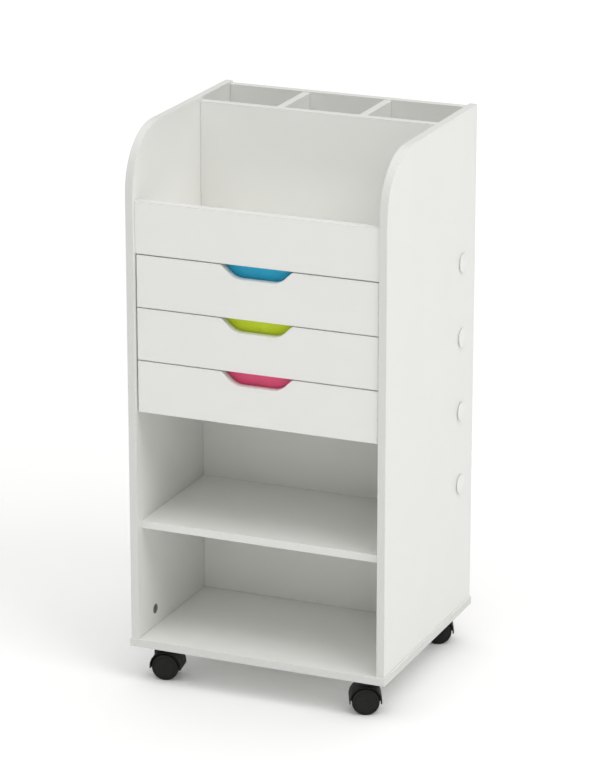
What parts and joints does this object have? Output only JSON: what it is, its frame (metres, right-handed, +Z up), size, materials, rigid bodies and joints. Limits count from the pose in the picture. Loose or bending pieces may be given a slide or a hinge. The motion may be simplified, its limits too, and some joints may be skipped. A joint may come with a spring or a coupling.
{
  "type": "rolling storage cart",
  "caption": "Narrow white storage cart on twin-wheel casters with notched drawers, open shelves, a front bin, a divided rear tray and rods for spools at the back.",
  "frame": {"origin": "on the floor under the middle of the carcass", "axes": "+X to the cart's right side seen from the front, +Y from front to back, +Z up"},
  "size_m": [0.4036, 0.352, 0.826],
  "materials": {
    "white_board": "white laminate on particle board, satin",
    "thin_board": "white faced hardboard, matt",
    "natural_wood": "plain turned wood",
    "white_plastic": "moulded, satin",
    "black_plastic": "moulded, fine texture",
    "bright_steel": "zinc plated",
    "zinc": "die cast",
    "blue_card": "coloured card, matt",
    "lime_card": "coloured card, matt",
    "pink_card": "coloured card, matt"
  },
  "bodies": {
    "carcass": {"base_panel": "white_board", "bin_floor_panel": "white_board", "bin_front_panel": "white_board", "cam_bolts": "bright_steel", "cam_locks": "zinc", "caster_plates": "bright_steel", "caster_screws": "bright_steel", "drawer_runners": "white_plastic", "inner_back_panel": "white_board", "left_side_panel": "white_board", "right_side_panel": "white_board", "runner_screws": "bright_steel", "shelf_panel": "white_board", "tray_back_panel": "white_board", "tray_divider_left": "white_board", "tray_divider_right": "white_board", "tray_floor_panel": "white_board", "wood_dowels": "natural_wood"},
    "drawer_1": {"drawer_1_back": "white_board", "drawer_1_floor": "thin_board", "drawer_1_front": "white_board", "drawer_1_left_side": "white_board", "drawer_1_liner": "blue_card", "drawer_1_right_side": "white_board"},
    "drawer_2": {"drawer_2_back": "white_board", "drawer_2_floor": "thin_board", "drawer_2_front": "white_board", "drawer_2_left_side": "white_board", "drawer_2_liner": "lime_card", "drawer_2_right_side": "white_board"},
    "drawer_3": {"drawer_3_back": "white_board", "drawer_3_floor": "thin_board", "drawer_3_front": "white_board", "drawer_3_left_side": "white_board", "drawer_3_liner": "pink_card", "drawer_3_right_side": "white_board"},
    "rod_1": {"ribbon_rod_1": "natural_wood", "rod_cap_1": "white_plastic"},
    "rod_2": {"ribbon_rod_2": "natural_wood", "rod_cap_2": "white_plastic"},
    "rod_3": {"ribbon_rod_3": "natural_wood", "rod_cap_3": "white_plastic"},
    "rod_4": {"ribbon_rod_4": "natural_wood", "rod_cap_4": "white_plastic"},
    "caster_front_left": {"caster_front_left_hood": "black_plastic", "caster_front_left_axle": "bright_steel"},
    "wheel_front_left_a": {"caster_front_left_wheel_a": "black_plastic"},
    "wheel_front_left_b": {"caster_front_left_wheel_b": "black_plastic"},
    "caster_front_right": {"caster_front_right_hood": "black_plastic", "caster_front_right_axle": "bright_steel"},
    "wheel_front_right_a": {"caster_front_right_wheel_a": "black_plastic"},
    "wheel_front_right_b": {"caster_front_right_wheel_b": "black_plastic"},
    "caster_rear_left": {"caster_rear_left_hood": "black_plastic", "caster_rear_left_axle": "bright_steel"},
    "wheel_rear_left_a": {"caster_rear_left_wheel_a": "black_plastic"},
    "wheel_rear_left_b": {"caster_rear_left_wheel_b": "black_plastic"},
    "caster_rear_right": {"caster_rear_right_hood": "black_plastic", "caster_rear_right_axle": "bright_steel"},
    "wheel_rear_right_a": {"caster_rear_right_wheel_a": "black_plastic"},
    "wheel_rear_right_b": {"caster_rear_right_wheel_b": "black_plastic"}
  },
  "joints": [
    {"name": "drawer_1_slide", "type": "slide", "parent": "carcass", "child": "drawer_1", "axis": [0, -1, 0], "range_m": [0, 0.14]},
    {"name": "drawer_2_slide", "type": "slide", "parent": "carcass", "child": "drawer_2", "axis": [0, -1, 0], "range_m": [0, 0.14]},
    {"name": "drawer_3_slide", "type": "slide", "parent": "carcass", "child": "drawer_3", "axis": [0, -1, 0], "range_m": [0, 0.14]},
    {"name": "rod_1_slide", "type": "slide", "parent": "carcass", "child": "rod_1", "axis": [1, 0, 0], "range_m": [0, 0.36]},
    {"name": "rod_2_slide", "type": "slide", "parent": "carcass", "child": "rod_2", "axis": [1, 0, 0], "range_m": [0, 0.36]},
    {"name": "rod_3_slide", "type": "slide", "parent": "carcass", "child": "rod_3", "axis": [1, 0, 0], "range_m": [0, 0.36]},
    {"name": "rod_4_slide", "type": "slide", "parent": "carcass", "child": "rod_4", "axis": [1, 0, 0], "range_m": [0, 0.36]},
    {"name": "front_left_swivel", "type": "hinge", "parent": "carcass", "child": "caster_front_left", "pos_m": [-0.169, -0.14, 0.045], "axis": [0, 0, 1], "continuous": true},
    {"name": "front_left_wheel_a_spin", "type": "hinge", "parent": "caster_front_left", "child": "wheel_front_left_a", "pos_m": [-0.15718, -0.13792, 0.02], "axis": [0.1736, -0.9848, 0], "continuous": true},
    {"name": "front_left_wheel_b_spin", "type": "hinge", "parent": "caster_front_left", "child": "wheel_front_left_b", "pos_m": [-0.15718, -0.13792, 0.02], "axis": [0.1736, -0.9848, 0], "continuous": true},
    {"name": "front_right_swivel", "type": "hinge", "parent": "carcass", "child": "caster_front_right", "pos_m": [0.169, -0.14, 0.045], "axis": [0, 0, 1], "continuous": true},
    {"name": "front_right_wheel_a_spin", "type": "hinge", "parent": "caster_front_right", "child": "wheel_front_right_a", "pos_m": [0.15808, -0.14498, 0.02], "axis": [-0.4147, 0.91, 0], "continuous": true},
    {"name": "front_right_wheel_b_spin", "type": "hinge", "parent": "caster_front_right", "child": "wheel_front_right_b", "pos_m": [0.15808, -0.14498, 0.02], "axis": [-0.4147, 0.91, 0], "continuous": true},
    {"name": "rear_left_swivel", "type": "hinge", "parent": "carcass", "child": "caster_rear_left", "pos_m": [-0.169, 0.152, 0.045], "axis": [0, 0, 1], "continuous": true},
    {"name": "rear_left_wheel_a_spin", "type": "hinge", "parent": "caster_rear_left", "child": "wheel_rear_left_a", "pos_m": [-0.15861, 0.146, 0.02], "axis": [-0.5, -0.866, 0], "continuous": true},
    {"name": "rear_left_wheel_b_spin", "type": "hinge", "parent": "caster_rear_left", "child": "wheel_rear_left_b", "pos_m": [-0.15861, 0.146, 0.02], "axis": [-0.5, -0.866, 0], "continuous": true},
    {"name": "rear_right_swivel", "type": "hinge", "parent": "carcass", "child": "caster_rear_right", "pos_m": [0.169, 0.152, 0.045], "axis": [0, 0, 1], "continuous": true},
    {"name": "rear_right_wheel_a_spin", "type": "hinge", "parent": "caster_rear_right", "child": "wheel_rear_right_a", "pos_m": [0.15795, 0.14731, 0.02], "axis": [-0.3907, 0.9205, 0], "continuous": true},
    {"name": "rear_right_wheel_b_spin", "type": "hinge", "parent": "caster_rear_right", "child": "wheel_rear_right_b", "pos_m": [0.15795, 0.14731, 0.02], "axis": [-0.3907, 0.9205, 0], "continuous": true}
  ]
}
